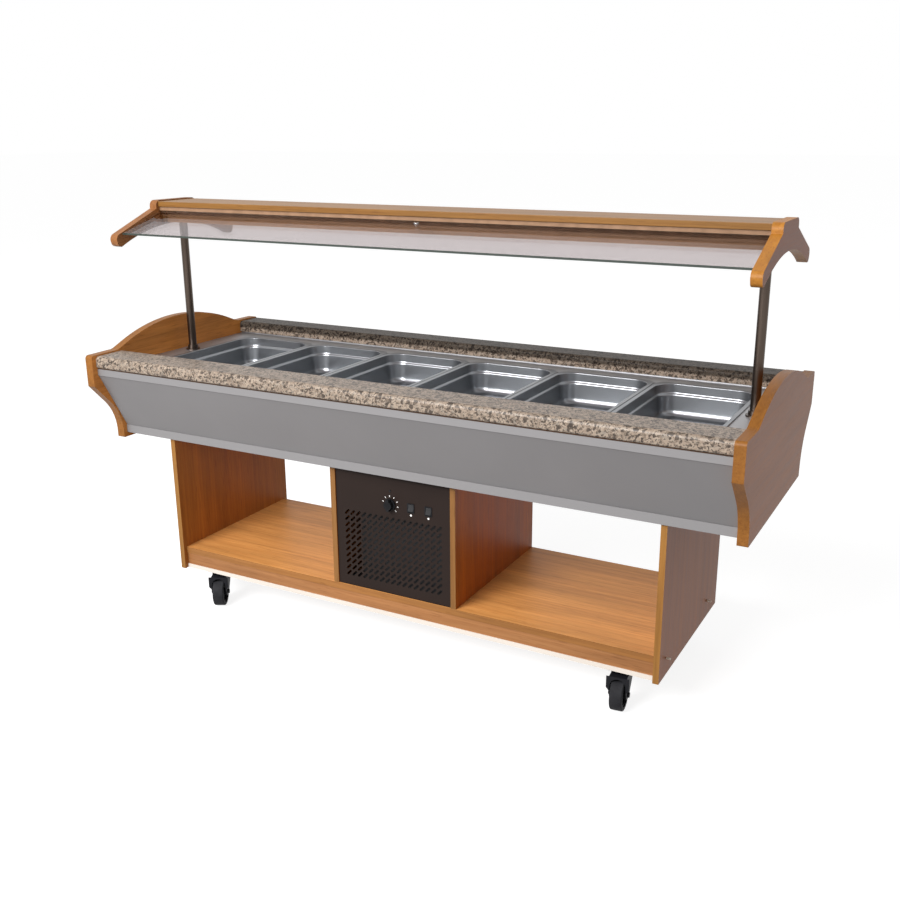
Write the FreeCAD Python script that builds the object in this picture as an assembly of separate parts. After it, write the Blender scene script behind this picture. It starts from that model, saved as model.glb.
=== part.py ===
import FreeCAD, Part
import math
import os
from FreeCAD import Vector

# A mobile refrigerated salad bar: an island on four casters, the same from front and back.
# +X runs along the counter, to the right seen from the front, +Y to the back, and +Z up.
# The origin lies on the floor under the middle of the counter. All sizes are in millimetres.

# ------------------------------------------------------------------ fits and clearances
seat_gap = 0.3            # a loose piece above what carries it, and a board end beside its neighbour
running_gap = 0.06        # radial play of a shaft or pin in its bore
press_gap = 0.0           # radial play of a tyre on its core
overcut = 1.0             # a cutting shape runs this far past the face it opens
arris = 2.0               # softened edge of a board, a slab or a bezel

# ------------------------------------------------------------------ end panels of the counter
counter_length = 2200.0   # outside to outside of the two end panels
panel_thickness = 30.0
nose_reach = 435.0        # from the middle plane to the front of the panel's nose
nose_bottom = 797.0
nose_top = 902.0
nose_top_slope = 0.01     # the nose's top edge rises towards the hump
nose_corner = 12.0
hump_top = 976.0
hump_radius = 702.0
hump_half_chord = 270.0
hump_blend = 50.0
foot_reach = 326.0        # half the depth of the panel's flat bottom
foot_bottom = 592.0
foot_corner = 3.0
waist_height = 681.0      # where the foot's face would meet the sloping underside of the nose
waist_radius = 168.0

# ------------------------------------------------------------------ counter
stone_bottom = 858.0      # also the top of the deck's raised edges
stone_thickness = 40.0
stone_front_reach = 418.0 # nose of the front slab, from the middle plane
stone_front_inner = 290.0
stone_back_reach = 433.0
stone_back_inner = 330.0
stone_round = 14.0
stone_back_round = 8.0
deck_sheet = 1.5
deck_reach = 400.0
deck_recess = 5.3         # between the slabs the deck lies this far lower
deck_step_cover = 8.0     # how far the slabs reach past the step's edge
rail_depth = 60.0         # wooden rail under the deck, behind the fascia
fascia_sheet = 1.5
fascia_top_reach = 412.5
fascia_gap = 3.0          # open joint between a slab and the fascia's top
fascia_bend_top = 833.0
fascia_bottom_reach = 308.0
fascia_bend_bottom = 636.0
fascia_bottom = 609.0
trim_thickness = 2.5
trim_overhang = 1.0       # below the fascia's edge
floor_bottom = 610.0      # floor board of the counter
floor_thickness = 18.0

# ------------------------------------------------------------------ pans and well
pan_count = 6
pan_length = 530.0        # 1/1 gastronorm, front to back
pan_width = 325.0
pan_pitch = 328.0
pan_depth = 100.0
pan_rim = 12.5
pan_lip = 4.0
pan_sheet = 1.0
pan_rim_corner = 40.0
pan_mouth_corner = 58.0
pan_mouth_round = 2.0     # rolled inner edge of the rim
pan_shoulder_drop = 31.0
pan_shoulder_step = 5.0
pan_shoulder_round = 6.0
pan_taper = 7.0           # how far a wall leans in below the shoulder
pan_draft = 2.5           # how far a wall leans in above the shoulder
pan_floor_round = 22.0
pan_bar_width = 20.0
pan_bar_height = 12.0
pan_play = 2.5            # between a pan's wall and the edge of the well
well_depth = 158.0
well_corner = 12.0
insulation_side = 18.0
insulation_bottom = 30.0
coil_tube = 12.0
coil_runs = 6
coil_spacing = 80.0
coil_end_gap = 53.5       # from the coil's last straight run to the well's end
coil_drop_x = 110.0       # where the two coil ends go down through the well's floor
drain_x = -110.0
drain_tube = 32.0
drain_wall = 2.0
drain_flange = 60.0
drain_length = 118.0
hole_play = 1.0           # radial play round a pipe where it passes a board or sheet

# ------------------------------------------------------------------ canopy
canopy_inset = 25.0       # the canopy ends this far inside the counter's ends
wing_thickness = 30.0
canopy_top = 1390.0
wing_nose_reach = 100.0
wing_nose_height = 28.0
wing_nose_round = 20.0
wing_tip_reach = 300.0
wing_tip_top = 1284.0
wing_tip_round = 20.0
wing_tip_low_reach = 287.0
wing_tip_low_round = 16.0
arch_top = 1310.0
arch_radius = 650.0
arch_half_chord = 276.0
top_board_reach = 90.0
top_board_drop = 4.0      # the board lies this far below the wings' noses
top_board_thickness = 18.0
light_box_reach = 50.0
light_box_bottom = 1313.0
light_box_side = 12.0
light_box_lid = 10.0
channel_setback = 6.0     # behind the top board's edge
channel_depth = 26.0
channel_height = 20.0
glass_thickness = 6.0
glass_low_reach = 268.0
glass_low_height = 1291.0
glass_slope = 0.33
glass_entry = 10.0        # how deep the pane stands in its channel
glass_play = 0.5
fixing_radius = 9.0
fixing_height = 5.0
fixing_round = 1.6
fixing_setback = 12.0     # from the channel's mouth down the pane
post_radius = 14.0
post_wall = 1.5
post_plug = 10.0          # closed end of a post
post_inset = 50.0         # from the end panel's inner face to the post's middle
flange_radius = 25.0
flange_height = 4.0
collar_radius = 18.0
collar_height = 16.0
anchor_height = 8.0
lamp_radius = 13.0
lamp_inset = 165.0        # from the wing's inner face to the lamp's holder
lamp_holder = 22.0
lamp_drop = 8.0           # from the light box's lid to the top of the tube
diffuser_thickness = 3.0
diffuser_play = 0.4

# ------------------------------------------------------------------ base cabinet
base_inset = 220.0        # the base ends this far inside the counter's ends
base_depth = 600.0
board = 18.0
base_bottom = 125.0       # height of the caster plates' upper faces
base_recess = 15.0        # shelf and plinth stand back from the side panels' edges
chassis_height = 14.0
chassis_width = 40.0
chassis_end_width = 28.0
chassis_margin = 7.0      # of a cross member, beside the caster's plate
plinth_height = 42.0
plinth_setback = 3.0      # behind the shelf's edge
shelf_thickness = 22.0
divider_gap = 416.0       # clear width of the middle bay
cap_radius = 3.5
cap_height = 12.0
cap_front_y = -234.0
cap_back_y = 192.0
cap_z = 178.0

# ------------------------------------------------------------------ grille panels and controls
grille_sheet = 1.5
grille_setback = 4.0      # behind the dividers' front edges
grille_return = 14.0      # depth of the strips behind the sheet's sides
grille_top_gap = 7.0
slot_columns = 17
slot_rows = 11
slot_pitch = 21.0
slot_length = 23.0
slot_width = 7.5
slot_angle = 45.0
slot_first_row = 246.0    # height of the lowest row
knob_x = -5.0
knob_z = 508.0
knob_radius = 19.0
knob_height = 18.0
knob_skirt = 4.0
knob_grip_width = 9.0
knob_drum_radius = 13.7
knob_bore_depth = 12.6
knob_stand_off = 1.0
shaft_radius = 3.0
shaft_hole_play = 2.0
shaft_end_gap = 1.8       # from a shaft's end to the bottom of its bore
thermostat_width = 44.0
thermostat_height = 36.0
thermostat_depth = 32.0
switch_x = (69.0, 131.0)
switch_z = 507.0
bezel_width = 25.0
bezel_height = 31.0
bezel_thickness = 2.0
rocker_width = 18.0
rocker_height = 23.0
rocker_front = 5.5
rocker_back = 3.0
rocker_tilt = 8.0         # degrees either side of the middle
rocker_play = 0.8
rocker_pin_radius = 1.5
rocker_pin_length = 2.0
rocker_pin_cover = 1.5    # between the pin and the panel's front
rocker_back_share = 0.8   # height of the rocker's back as a share of its front
rocker_round = 0.5
switch_wall = 1.5
switch_depth = 24.0
inlet_width = 32.0
inlet_height = 26.0
inlet_depth = 28.0
inlet_round = 1.0
inlet_flange = 4.0
inlet_flange_round = 3.0
inlet_flange_thickness = 2.5
inlet_x = 150.0
inlet_z = 545.0
inlet_cavity_depth = 18.0
inlet_cavity_wall = 4.0
panel_screw_radius = 3.5
panel_screw_height = 1.5
panel_screw_z = 552.0

# ------------------------------------------------------------------ condensing unit
tray_sheet = 2.0
tray_reach_x = 190.0
tray_reach_y = 255.0
tray_lip = 12.0
condenser_left = -150.0
condenser_right = 170.0
condenser_front = -225.0
condenser_thickness = 40.0
condenser_height = 240.0
shroud_sheet = 2.0
shroud_depth = 30.0
fan_radius = 95.0
fan_ring_gap = 6.0
fan_x = 10.0
fan_hub_radius = 22.0
fan_hub_length = 24.0
fan_hub_nose = 4.0        # closed front of the hub
fan_blade_count = 5
fan_blade_thickness = 2.0
fan_blade_chord = 44.0
fan_blade_angle = 28.0
fan_blade_root = 4.0      # how deep a blade stands in the hub
fan_blade_tip_gap = 3.0   # a blade's end inside the fan's full radius
fan_set_back = 8.0        # hub's front face behind the condenser
motor_radius = 40.0
motor_length = 62.0
motor_gap = 3.0
motor_shaft_radius = 4.0
motor_foot_width = 60.0
motor_foot_thickness = 3.0
compressor_x = 110.0
compressor_y = 175.0
compressor_radius = 70.0
compressor_height = 150.0
compressor_round = 16.0
compressor_foot = 12.0
compressor_foot_radius = 11.0
compressor_foot_spread = 43.4
compressor_foot_cover = 24.0   # how far a foot runs up into the shell
discharge_x = 75.0
discharge_tube = 8.0
discharge_height = 500.0
pipe_bend = 20.0

# ------------------------------------------------------------------ casters
caster_inset = 127.0      # from the base's end to the swivel axis
caster_y = 235.0
caster_trail = 35.0
caster_turns = (28.0, 6.0, 200.0, 165.0)  # degrees: front left, front right, back left, back right
wheel_diameter = 100.0
tyre_width = 38.0
tyre_round = 4.0
core_radius = 38.0
core_width = 30.0
core_lip = 5.0            # ring left round a dish in the wheel's side
web_thickness = 16.5
hub_radius = 13.0
hub_length = 45.0
axle_radius = 4.0
axle_head_radius = 8.0
axle_head_height = 5.0
plate_length = 90.0
plate_width = 76.0
plate_thickness = 3.0
plate_corner = 8.0
plate_screw_inset = 10.0
plate_screw_radius = 5.0
plate_screw_height = 3.5
race_radius = 27.0
race_height = 9.0
crown_thickness = 6.0
crown_radius = 30.0
crown_corner = 15.0
kingpin_radius = 6.0
kingpin_nut_radius = 10.0
kingpin_nut_height = 6.0
fork_sheet = 3.0
fork_side_play = 0.6      # between the hub's end and the fork's leg
fork_end_radius = 13.0
fork_end_round = 12.0
fork_flare = 8.0          # the legs' front edges turn outwards
fork_front_reach = 26.0   # of the legs, ahead of the axle
fork_flare_bottom = 64.0
fork_arch_drop = 6.0      # from the crown's top to the arch over the wheel
fork_flare_rise = 12.8    # height of a flare's slanting lower edge
fork_corner = 4.0
fork_rear_drop = 8.0      # of a leg's rear corner, below the crown

# ------------------------------------------------------------------ derived sizes
half_length = counter_length / 2
panel_inner = half_length - panel_thickness
wing_inner = half_length - canopy_inset - wing_thickness
post_x = panel_inner - post_inset
deck_underside = stone_bottom - deck_sheet
recess_top = stone_bottom - deck_recess
recess_underside = recess_top - deck_sheet
fascia_top = stone_bottom - fascia_gap
well_margin = pan_rim - pan_sheet - pan_play
well_half_x = pan_pitch * (pan_count - 1) / 2 + pan_width / 2 - well_margin
well_half_y = pan_length / 2 - well_margin
well_floor = stone_bottom - well_depth
rim_height = recess_top + seat_gap + pan_lip
board_bottom = canopy_top - top_board_drop - top_board_thickness
channel_mouth = top_board_reach - channel_setback
shelf_bottom = base_bottom + chassis_height + plinth_height
shelf_top = shelf_bottom + shelf_thickness
base_half = half_length - base_inset
caster_x = base_half - caster_inset
base_front = base_depth / 2
bay_front = base_front - base_recess
side_inner = base_half - board
divider_inner = divider_gap / 2
race_bottom = base_bottom - plate_thickness - race_height
crown_top = race_bottom - seat_gap
wheel_radius = wheel_diameter / 2
leg_inner = hub_length / 2 + fork_side_play
coil_height = well_floor + coil_tube / 2 + seat_gap
coil_first_y = -coil_spacing * (coil_runs - 1) / 2
coil_half_length = well_half_x - coil_end_gap
lamp_half_length = wing_inner - lamp_inset
condenser_bottom = shelf_top + tray_sheet
condenser_back = condenser_front + condenser_thickness
condenser_top = condenser_bottom + condenser_height
compressor_top = condenser_bottom + compressor_foot + compressor_height
grille_face = bay_front - grille_setback


# ------------------------------------------------------------------ helpers
def box(x0, x1, y0, y1, z0, z1):
    """Block between two corners, given in either order."""
    low = Vector(min(x0, x1), min(y0, y1), min(z0, z1))
    return Part.makeBox(abs(x1 - x0), abs(y1 - y0), abs(z1 - z0), low)


def rod(radius, start, end):
    """Round bar from one point to another."""
    run = end - start
    return Part.makeCylinder(radius, run.Length, start, run)


def rounded_edges(corners):
    """Lines and arcs through (point, radius) corners of a closed outline."""
    stops = []
    for index, (corner, radius) in enumerate(corners):
        back = corners[index - 1][0] - corner
        ahead = corners[(index + 1) % len(corners)][0] - corner
        back.normalize()
        ahead.normalize()
        if radius <= 0:
            stops.append((corner, None, corner))
            continue
        half = back.getAngle(ahead) / 2
        middle = (back + ahead).normalize()
        tangent = radius / math.tan(half)
        deep = radius / math.sin(half) - radius
        stops.append((corner + back * tangent, corner + middle * deep, corner + ahead * tangent))
    edges = []
    for index, (start, middle, end) in enumerate(stops):
        if middle is not None:
            edges.append(Part.Arc(start, middle, end).toShape())
        next_start = stops[(index + 1) % len(stops)][0]
        if (next_start - end).Length > 1e-6:
            edges.append(Part.LineSegment(end, next_start).toShape())
    return edges


def rounded_wire(corners):
    return Part.Wire(rounded_edges(corners))


def prism(corners, run):
    """Extrude a closed outline of (point, radius) corners."""
    return Part.Face(rounded_wire(corners)).extrude(run)


def along_x(outline, x0, x1):
    """Prism along X from (y, z, radius) corners."""
    return prism([(Vector(x0, y, z), radius) for y, z, radius in outline], Vector(x1 - x0, 0, 0))


def along_y(outline, y0, y1):
    """Prism along Y from (x, z, radius) corners."""
    return prism([(Vector(x, y0, z), radius) for x, z, radius in outline], Vector(0, y1 - y0, 0))


def along_z(outline, z0, z1):
    """Prism along Z from (x, y, radius) corners."""
    return prism([(Vector(x, y, z0), radius) for x, y, radius in outline], Vector(0, 0, z1 - z0))


def rectangle(half_u, half_v, radius, centre_u=0.0, centre_v=0.0):
    """Corners of a rounded rectangle."""
    signs = ((-1, -1), (1, -1), (1, 1), (-1, 1))
    return [(centre_u + su * half_u, centre_v + sv * half_v, radius) for su, sv in signs]


def level_wire(half_x, half_y, radius, z):
    """Rounded rectangle as a level wire, for lofts."""
    return rounded_wire([(Vector(x, y, z), r) for x, y, r in rectangle(half_x, half_y, radius)])


def mirror_x(shape):
    return shape.mirror(Vector(0, 0, 0), Vector(1, 0, 0))


def mirror_y(shape):
    return shape.mirror(Vector(0, 0, 0), Vector(0, 1, 0))


def moved(shape, x=0.0, y=0.0, z=0.0):
    copy = shape.copy()
    copy.translate(Vector(x, y, z))
    return copy


def turned(shape, degrees):
    """Copy turned about the upright axis through the origin."""
    copy = shape.copy()
    copy.rotate(Vector(0, 0, 0), Vector(0, 0, 1), degrees)
    return copy


def bent_tube(points, radius, bend):
    """Round tube along straight runs joined by tangent arcs."""
    edges = []
    start = points[0]
    for index in range(1, len(points) - 1):
        corner = points[index]
        back = (points[index - 1] - corner).normalize()
        ahead = (points[index + 1] - corner).normalize()
        half = back.getAngle(ahead) / 2
        tangent = bend / math.tan(half)
        middle = corner + (back + ahead).normalize() * (bend / math.sin(half) - bend)
        arc_start = corner + back * tangent
        if (arc_start - start).Length > 1e-6:
            edges.append(Part.LineSegment(start, arc_start).toShape())
        start = corner + ahead * tangent
        edges.append(Part.Arc(arc_start, middle, start).toShape())
    edges.append(Part.LineSegment(start, points[-1]).toShape())
    section = Part.Wire(Part.makeCircle(radius, points[0], points[1] - points[0]))
    return Part.Wire(edges).makePipeShell([section], True, False)


def both_sides(outline):
    """Complete a half outline at y > 0, listed upwards, with its mirror image."""
    return outline + [(-y, z, radius) for y, z, radius in reversed(outline)]


# ------------------------------------------------------------------ counter
def end_panel():
    """Vase-shaped end panel: narrow foot, noses front and back, and a round hump."""
    slope = hump_half_chord / math.sqrt(hump_radius ** 2 - hump_half_chord ** 2)
    apex = hump_top - hump_radius + hump_radius * math.sqrt(1 + slope ** 2)
    level = nose_top + nose_top_slope * nose_reach
    blend_y = (apex - level) / (slope - nose_top_slope)
    blend_z = apex - slope * blend_y
    half = [
        (foot_reach, foot_bottom, foot_corner),
        (foot_reach, waist_height, waist_radius),
        (nose_reach, nose_bottom, foot_corner),
        (nose_reach, nose_top, nose_corner),
        (blend_y, blend_z, hump_blend),
    ]
    outline = half + [(0, apex, hump_radius)] + [(-y, z, r) for y, z, r in reversed(half)]
    return along_x(outline, panel_inner, half_length)


def stone_slab(reach, inner, nose_round):
    """Granite slab in front of the middle plane, rounded along its nose and its inner edge."""
    top = stone_bottom + stone_thickness
    outline = [
        (-reach, stone_bottom, nose_round / 2),
        (-reach, top, nose_round),
        (-inner, top, stone_round),
        (-inner, stone_bottom, arris),
    ]
    return along_x(outline, -panel_inner, panel_inner)


def fascia():
    """Front fascia: one folded sheet with an upright lip above and below the slope."""
    face = [
        (-fascia_top_reach, fascia_top),
        (-fascia_top_reach, fascia_bend_top),
        (-fascia_bottom_reach, fascia_bend_bottom),
        (-fascia_bottom_reach, fascia_bottom),
    ]
    back = [(y + fascia_sheet, z) for y, z in reversed(face)]
    outline = [(y, z, 0) for y, z in face + back]
    return along_x(outline, -panel_inner, panel_inner)


def fascia_trims():
    """Flat aluminium strips over the upright lips of both fascias."""
    top = box(-panel_inner, panel_inner, -fascia_top_reach - trim_thickness, -fascia_top_reach,
              fascia_bend_top, fascia_top)
    bottom = box(-panel_inner, panel_inner, -fascia_bottom_reach - trim_thickness, -fascia_bottom_reach,
                 fascia_bottom - trim_overhang, fascia_bend_bottom)
    return [top, bottom, mirror_y(top), mirror_y(bottom)]


def counter_rails():
    """Wooden rails that carry the deck's front and back edges behind the fascias."""
    outer = fascia_top_reach - fascia_sheet
    rail = box(-panel_inner, panel_inner, -outer, rail_depth - outer, fascia_bend_top, deck_underside)
    return [rail, mirror_y(rail)]


def counter_floor():
    """Board that closes the counter below and rests on the base's panels."""
    reach = fascia_bottom_reach - fascia_sheet
    floor = box(-panel_inner, panel_inner, -reach, reach, floor_bottom, floor_bottom + floor_thickness)
    for hole in floor_holes(floor_bottom, floor_bottom + floor_thickness):
        floor = floor.cut(hole)
    return floor


def floor_holes(z0, z1):
    """Where the drain and the two coil ends pass a floor between two heights."""
    spots = [(drain_x, 0.0, drain_tube / 2 + hole_play)]
    for side in (-1, 1):
        spots.append((coil_drop_x, side * -coil_first_y, coil_tube / 2 + hole_play))
    return [rod(r, Vector(x, y, z0 - overcut), Vector(x, y, z1 + overcut)) for x, y, r in spots]


def deck():
    """Folded stainless deck: raised edges under the slabs and a lower strip with the well's opening."""
    front_step = stone_front_inner + deck_step_cover
    back_step = stone_back_inner + deck_step_cover
    outline = [
        (-deck_reach, stone_bottom, 0),
        (-front_step, stone_bottom, 0),
        (-front_step, recess_top, 0),
        (back_step, recess_top, 0),
        (back_step, stone_bottom, 0),
        (deck_reach, stone_bottom, 0),
        (deck_reach, deck_underside, 0),
        (back_step + deck_sheet, deck_underside, 0),
        (back_step + deck_sheet, recess_underside, 0),
        (-front_step - deck_sheet, recess_underside, 0),
        (-front_step - deck_sheet, deck_underside, 0),
        (-deck_reach, deck_underside, 0),
    ]
    sheet = along_x(outline, seat_gap - panel_inner, panel_inner - seat_gap)
    opening = along_z(rectangle(well_half_x, well_half_y, well_corner), recess_underside - overcut,
                      recess_top + overcut)
    return sheet.cut(opening)


def open_box(half_x, half_y, side, bottom, floor_z, top):
    """Five plates round an open space: the floor, two long walls and two end walls."""
    floor = box(-half_x - side, half_x + side, -half_y - side, half_y + side, floor_z - bottom, floor_z)
    for hole in floor_holes(floor_z - bottom, floor_z):
        floor = floor.cut(hole)
    long_wall = box(-half_x - side, half_x + side, -half_y - side, -half_y, floor_z, top)
    end_wall = box(half_x, half_x + side, -half_y, half_y, floor_z, top)
    return [floor, long_wall, mirror_y(long_wall), end_wall, mirror_x(end_wall)]


def well_plates():
    """Welded stainless plates of the well below the deck."""
    return open_box(well_half_x, well_half_y, deck_sheet, deck_sheet, well_floor, recess_underside)


def drain():
    """Drain pipe with its flange on the well's floor."""
    top = Vector(drain_x, 0, well_floor)
    flange = rod(drain_flange / 2, top, top + Vector(0, 0, deck_sheet))
    pipe = rod(drain_tube / 2, top - Vector(0, 0, drain_length), top + Vector(0, 0, deck_sheet))
    bore = rod(drain_tube / 2 - drain_wall, top - Vector(0, 0, drain_length + overcut),
               top + Vector(0, 0, deck_sheet + overcut))
    return flange.fuse(pipe).cut(bore).removeSplitter()


def insulation():
    """Foam boards round the well."""
    return open_box(well_half_x + deck_sheet, well_half_y + deck_sheet, insulation_side, insulation_bottom,
                    well_floor - deck_sheet, recess_underside)


def pan_bars():
    """Bars across the well that carry the rims where two pans meet."""
    bars = []
    for index in range(1, pan_count):
        x = (index - pan_count / 2) * pan_pitch
        bars.append(box(x - pan_bar_width / 2, x + pan_bar_width / 2, -well_half_y, well_half_y,
                        recess_top - pan_bar_height, recess_top))
    return bars


def edges_at(shape, height):
    """Level edges of a shape at one height."""
    return [edge for edge in shape.Edges
            if all(abs(vertex.Z - height) < 1e-6 for vertex in edge.Vertexes)]


def pan_body(grow, drop):
    """Inside of a pan, or its outside when it grows by the sheet's thickness."""
    half_x = pan_width / 2 - pan_rim + grow
    half_y = pan_length / 2 - pan_rim + grow
    corner = pan_mouth_corner + grow
    shoulder = rim_height - pan_shoulder_drop - drop
    levels = [
        (0.0, rim_height),
        (pan_draft, shoulder + pan_shoulder_step / 2),
        (pan_draft + pan_shoulder_step, shoulder - pan_shoulder_step / 2),
        (pan_draft + pan_shoulder_step + pan_taper, rim_height - pan_depth - drop),
    ]
    wires = [level_wire(half_x - lean, half_y - lean, corner - lean, z) for lean, z in levels]
    body = Part.makeLoft(wires[0:2], True, True)
    body = body.fuse(Part.makeLoft(wires[1:3], True, True))
    body = body.fuse(Part.makeLoft(wires[2:4], True, True))
    body = body.makeFillet(pan_shoulder_round, edges_at(body, levels[1][1]) + edges_at(body, levels[2][1]))
    return body.makeFillet(pan_floor_round + grow, edges_at(body, levels[3][1]))


def pan():
    """One 1/1 pan with a flat rim and a turned-down lip, at the middle of the well."""
    half_x = pan_width / 2
    half_y = pan_length / 2
    rim = along_z(rectangle(half_x, half_y, pan_rim_corner), rim_height - pan_lip, rim_height)
    under = along_z(rectangle(half_x - pan_sheet, half_y - pan_sheet, pan_rim_corner - pan_sheet),
                    rim_height - pan_lip - overcut, rim_height - pan_sheet)
    shell = rim.cut(under).fuse(pan_body(pan_sheet, pan_sheet))
    above = along_z(rectangle(half_x + overcut, half_y + overcut, pan_rim_corner),
                    rim_height, rim_height + pan_lip)
    space = above.fuse(pan_body(0.0, 0.0))
    mouth = [edge for edge in edges_at(space, rim_height)
             if edge.BoundBox.XMax < half_x and edge.BoundBox.XMin > -half_x
             and abs(edge.CenterOfMass.y) < half_y]
    return shell.cut(space.makeFillet(pan_mouth_round, mouth))


# ------------------------------------------------------------------ canopy
def wing():
    """Right gull-wing bracket: rounded nose on top, straight arms and an arched underside."""
    slope = arch_half_chord / math.sqrt(arch_radius ** 2 - arch_half_chord ** 2)
    apex = arch_top - arch_radius + arch_radius * math.sqrt(1 + slope ** 2)
    half = [
        (wing_tip_low_reach, apex - slope * wing_tip_low_reach, wing_tip_low_round),
        (wing_tip_reach, wing_tip_top, wing_tip_round),
        (wing_nose_reach, canopy_top - wing_nose_height, arris),
        (wing_nose_reach, canopy_top, wing_nose_round),
    ]
    outline = [(0, apex, arch_radius)] + both_sides(half)
    return along_x(outline, wing_inner, wing_inner + wing_thickness)


def top_board():
    middle = board_bottom + top_board_thickness / 2
    outline = rectangle(top_board_reach, top_board_thickness / 2, arris, 0.0, middle)
    return along_x(outline, -wing_inner, wing_inner)


def light_box():
    """Wooden channel under the top board, open below."""
    outer = box(-wing_inner, wing_inner, -light_box_reach, light_box_reach, light_box_bottom, board_bottom)
    inside = light_box_reach - light_box_side
    return outer.cut(box(-wing_inner - overcut, wing_inner + overcut, -inside, inside,
                         light_box_bottom - overcut, board_bottom - light_box_lid))


def glass_section(top_y, extra, low_y):
    """Section of the front pane between two distances from the middle plane."""
    lift = (glass_thickness / 2 + extra) * math.sqrt(1 + glass_slope ** 2)
    height = lambda y: glass_low_height + (glass_low_reach - y) * glass_slope
    return [
        (-low_y, height(low_y) - lift, 0),
        (-low_y, height(low_y) + lift, 0),
        (-top_y, height(top_y) + lift, 0),
        (-top_y, height(top_y) - lift, 0),
    ]


def glass_pane():
    """Front pane, from the channel under the board down to the wings' tips."""
    section = glass_section(channel_mouth - glass_entry, 0.0, glass_low_reach)
    return along_x(section, -wing_inner + seat_gap, wing_inner - seat_gap)


def glass_channel():
    """Dark channel that holds the front pane's upper edge."""
    outer = box(-wing_inner, wing_inner, -channel_mouth, channel_depth - channel_mouth,
                board_bottom - channel_height, board_bottom)
    slot = glass_section(channel_mouth - glass_entry - glass_play, glass_play, channel_mouth + overcut)
    return outer.cut(along_x(slot, -wing_inner - overcut, wing_inner + overcut))


def glass_fixing():
    """Round metal button on the front pane near its upper edge."""
    y = top_board_reach + fixing_setback
    lift = glass_thickness / 2 * math.sqrt(1 + glass_slope ** 2) + seat_gap
    height = glass_low_height + (glass_low_reach - y) * glass_slope + lift
    normal = Vector(0, -glass_slope, 1).normalize()
    button = rod(fixing_radius, Vector(0, -y, height), Vector(0, -y, height) + normal * fixing_height)
    rim = [edge for edge in button.Edges
           if len(edge.Vertexes) == 1 and edge.CenterOfMass.z > height + fixing_round]
    return button.makeFillet(fixing_round, rim)


def post():
    """Right post: a tube from the deck to the light box's lid."""
    top = board_bottom - light_box_lid
    outer = rod(post_radius, Vector(post_x, 0, recess_top), Vector(post_x, 0, top))
    return outer.cut(rod(post_radius - post_wall, Vector(post_x, 0, recess_top + post_plug),
                         Vector(post_x, 0, top - post_plug)))


def post_flange():
    """Chrome flange with a collar round the foot of the right post."""
    foot = Vector(post_x, 0, recess_top)
    flange = rod(flange_radius, foot, foot + Vector(0, 0, flange_height))
    collar = rod(collar_radius, foot, foot + Vector(0, 0, collar_height))
    return flange.fuse(collar).cut(rod(post_radius, foot, foot + Vector(0, 0, collar_height + overcut)))


def post_anchor():
    """Disc under the deck that the right post is bolted to."""
    foot = Vector(post_x, 0, recess_underside)
    return rod(flange_radius, foot - Vector(0, 0, anchor_height), foot)


def lamp():
    """Fluorescent tube with two holders on the light box's lid, and the diffuser below."""
    lid = board_bottom - light_box_lid
    centre = lid - lamp_drop - lamp_radius
    tube = rod(lamp_radius, Vector(-lamp_half_length, 0, centre), Vector(lamp_half_length, 0, centre))
    holder = box(lamp_half_length, lamp_half_length + lamp_holder, -lamp_radius, lamp_radius,
                 centre - lamp_radius, lid)
    inside = light_box_reach - light_box_side - diffuser_play
    end = post_x - post_radius - diffuser_play
    sheet = box(-end, end, -inside, inside, light_box_bottom, light_box_bottom + diffuser_thickness)
    return [tube, holder, mirror_x(holder), sheet]


# ------------------------------------------------------------------ base cabinet
def base_side():
    return box(side_inner, base_half, -base_front, base_front, base_bottom, floor_bottom)


def divider():
    return box(divider_inner, divider_inner + board, -bay_front, bay_front, shelf_top, floor_bottom)


def plinth_boards():
    front = bay_front - plinth_setback
    board_front = box(-side_inner, side_inner, -front, board - front,
                      base_bottom + chassis_height, shelf_bottom)
    return [board_front, mirror_y(board_front)]


def chassis():
    """Flat steel frame with a cross member over each pair of casters."""
    top = base_bottom + chassis_height
    frame = box(-side_inner, side_inner, -bay_front, bay_front, base_bottom, top)
    inner_y = bay_front - chassis_width
    member = plate_width / 2 + chassis_margin
    windows = [
        (-caster_x + member, caster_x - member),
        (caster_x + member, side_inner - chassis_end_width),
        (-side_inner + chassis_end_width, -caster_x - member),
    ]
    for x0, x1 in windows:
        frame = frame.cut(box(x0, x1, -inner_y, inner_y, base_bottom - overcut, top + overcut))
    return frame


def fixing_caps():
    """Round pegs low on the outer faces of the side panels."""
    caps = []
    for side in (-1, 1):
        for y in (cap_front_y, cap_back_y):
            start = Vector(side * base_half, y, cap_z)
            caps.append(rod(cap_radius, start, start + Vector(side * cap_height, 0, 0)))
    return caps


def upright_wire(outline, y):
    """Closed outline of (x, z, radius) corners in an upright plane."""
    return rounded_wire([(Vector(x, y, z), radius) for x, z, radius in outline])


def slot_outlines(y):
    """Slanting slots of a grille panel in the plane at y."""
    slot = upright_wire(rectangle(slot_length / 2, slot_width / 2, slot_width / 2), y)
    slot.rotate(Vector(0, y, 0), Vector(0, 1, 0), -slot_angle)
    slots = []
    for column in range(slot_columns):
        x = (column - (slot_columns - 1) / 2) * slot_pitch
        for row in range(slot_rows):
            slots.append(moved(slot, x, 0, slot_first_row + row * slot_pitch))
    return slots


def grille(cut_outs):
    """Slotted front sheet of the middle bay, with a strip behind each side."""
    half = divider_inner - seat_gap
    half_height = (floor_bottom - grille_top_gap - shelf_top) / 2
    front = -grille_face
    edge = upright_wire(rectangle(half, half_height, 0, 0, shelf_top + half_height), front)
    face = Part.makeFace([edge] + slot_outlines(front) + cut_outs, "Part::FaceMakerBullseye")
    sheet = face.extrude(Vector(0, grille_sheet, 0))
    strip = box(half - grille_sheet, half, front + grille_sheet, front + grille_return,
                shelf_top, shelf_top + 2 * half_height)
    return [sheet, strip, mirror_x(strip)]


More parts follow.
